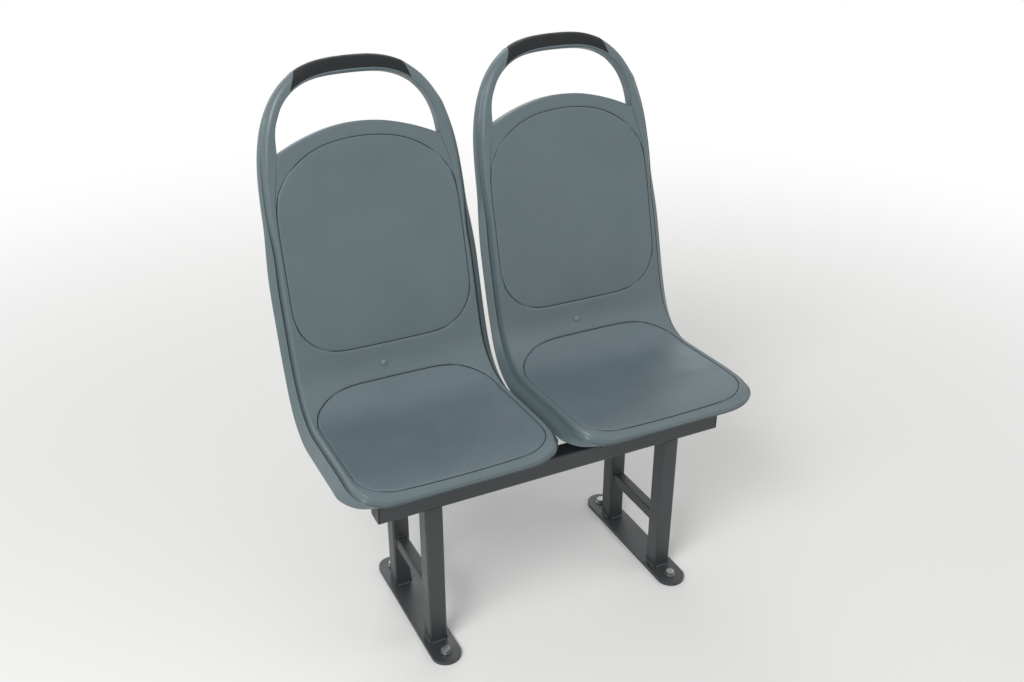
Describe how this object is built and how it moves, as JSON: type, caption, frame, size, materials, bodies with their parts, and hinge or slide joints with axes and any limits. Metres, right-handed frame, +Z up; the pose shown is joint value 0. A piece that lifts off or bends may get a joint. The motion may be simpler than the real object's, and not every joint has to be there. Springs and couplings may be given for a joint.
{
  "type": "twin passenger seat for a bus",
  "caption": "Twin bus seat: moulded plastic shells with loop handles and dark grips, inset panels and rear covers, on a floor-standing steel underframe.",
  "frame": {"origin": "on the floor, under the middle of the pair's outer box", "axes": "+Z up, the seats face -Y, +X runs across the pair"},
  "size_m": [0.876, 0.5411, 1.057],
  "materials": {
    "seat_plastic": "satin moulded, blue-grey",
    "panel_plastic": "fine-grained, blue-grey",
    "cover_plastic": "moulded, blue-grey",
    "grip_rubber": "matt charcoal",
    "frame_steel": "dark grey powder coat",
    "cap_plastic": "black moulded"
  },
  "bodies": {
    "root": {"left_shell": "seat_plastic", "left_back_panel": "panel_plastic", "left_pan_panel": "panel_plastic", "left_grip": "grip_rubber", "left_rear_cover": "cover_plastic", "right_shell": "seat_plastic", "right_back_panel": "panel_plastic", "right_pan_panel": "panel_plastic", "right_grip": "grip_rubber", "right_rear_cover": "cover_plastic", "front_cross_tube": "frame_steel", "rear_cross_tube": "frame_steel", "tube_end_caps": "cap_plastic", "left_carriers": "frame_steel", "right_carriers": "frame_steel", "left_legs": "frame_steel", "right_legs": "frame_steel", "left_foot_rail": "frame_steel", "right_foot_rail": "frame_steel", "left_brace": "frame_steel", "right_brace": "frame_steel"}
  },
  "joints": []
}
